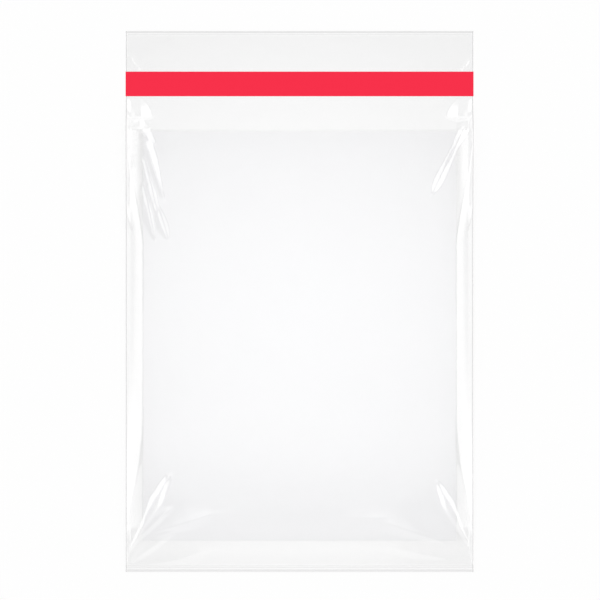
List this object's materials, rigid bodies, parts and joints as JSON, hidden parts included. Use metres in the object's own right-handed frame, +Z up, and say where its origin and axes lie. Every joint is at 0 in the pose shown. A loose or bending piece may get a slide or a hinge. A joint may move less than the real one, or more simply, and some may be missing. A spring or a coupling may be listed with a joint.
{
  "type": "self-seal cellophane bag",
  "caption": "Clear film bag lying flat with side welds, a sealed foot, an open mouth below a lip, a red peel-off liner over the adhesive and a blank white sheet inside.",
  "frame": {"origin": "middle of the bag's outline, on the table it lies on", "axes": "+X across the bag to the right as the front is seen, +Y along the bag from the sealed foot to the lip, +Z up out of the front panel"},
  "size_m": [0.24, 0.373, 0.0061],
  "materials": {
    "clear_film": "clear high-gloss film",
    "adhesive": "clear tacky coat",
    "liner_film": "satin coloured film",
    "white_card": "smooth uncoated card"
  },
  "bodies": {
    "root": {"film_bag": "clear_film", "adhesive_strip": "adhesive", "release_liner": "liner_film", "insert_sheet": "white_card"}
  },
  "joints": []
}
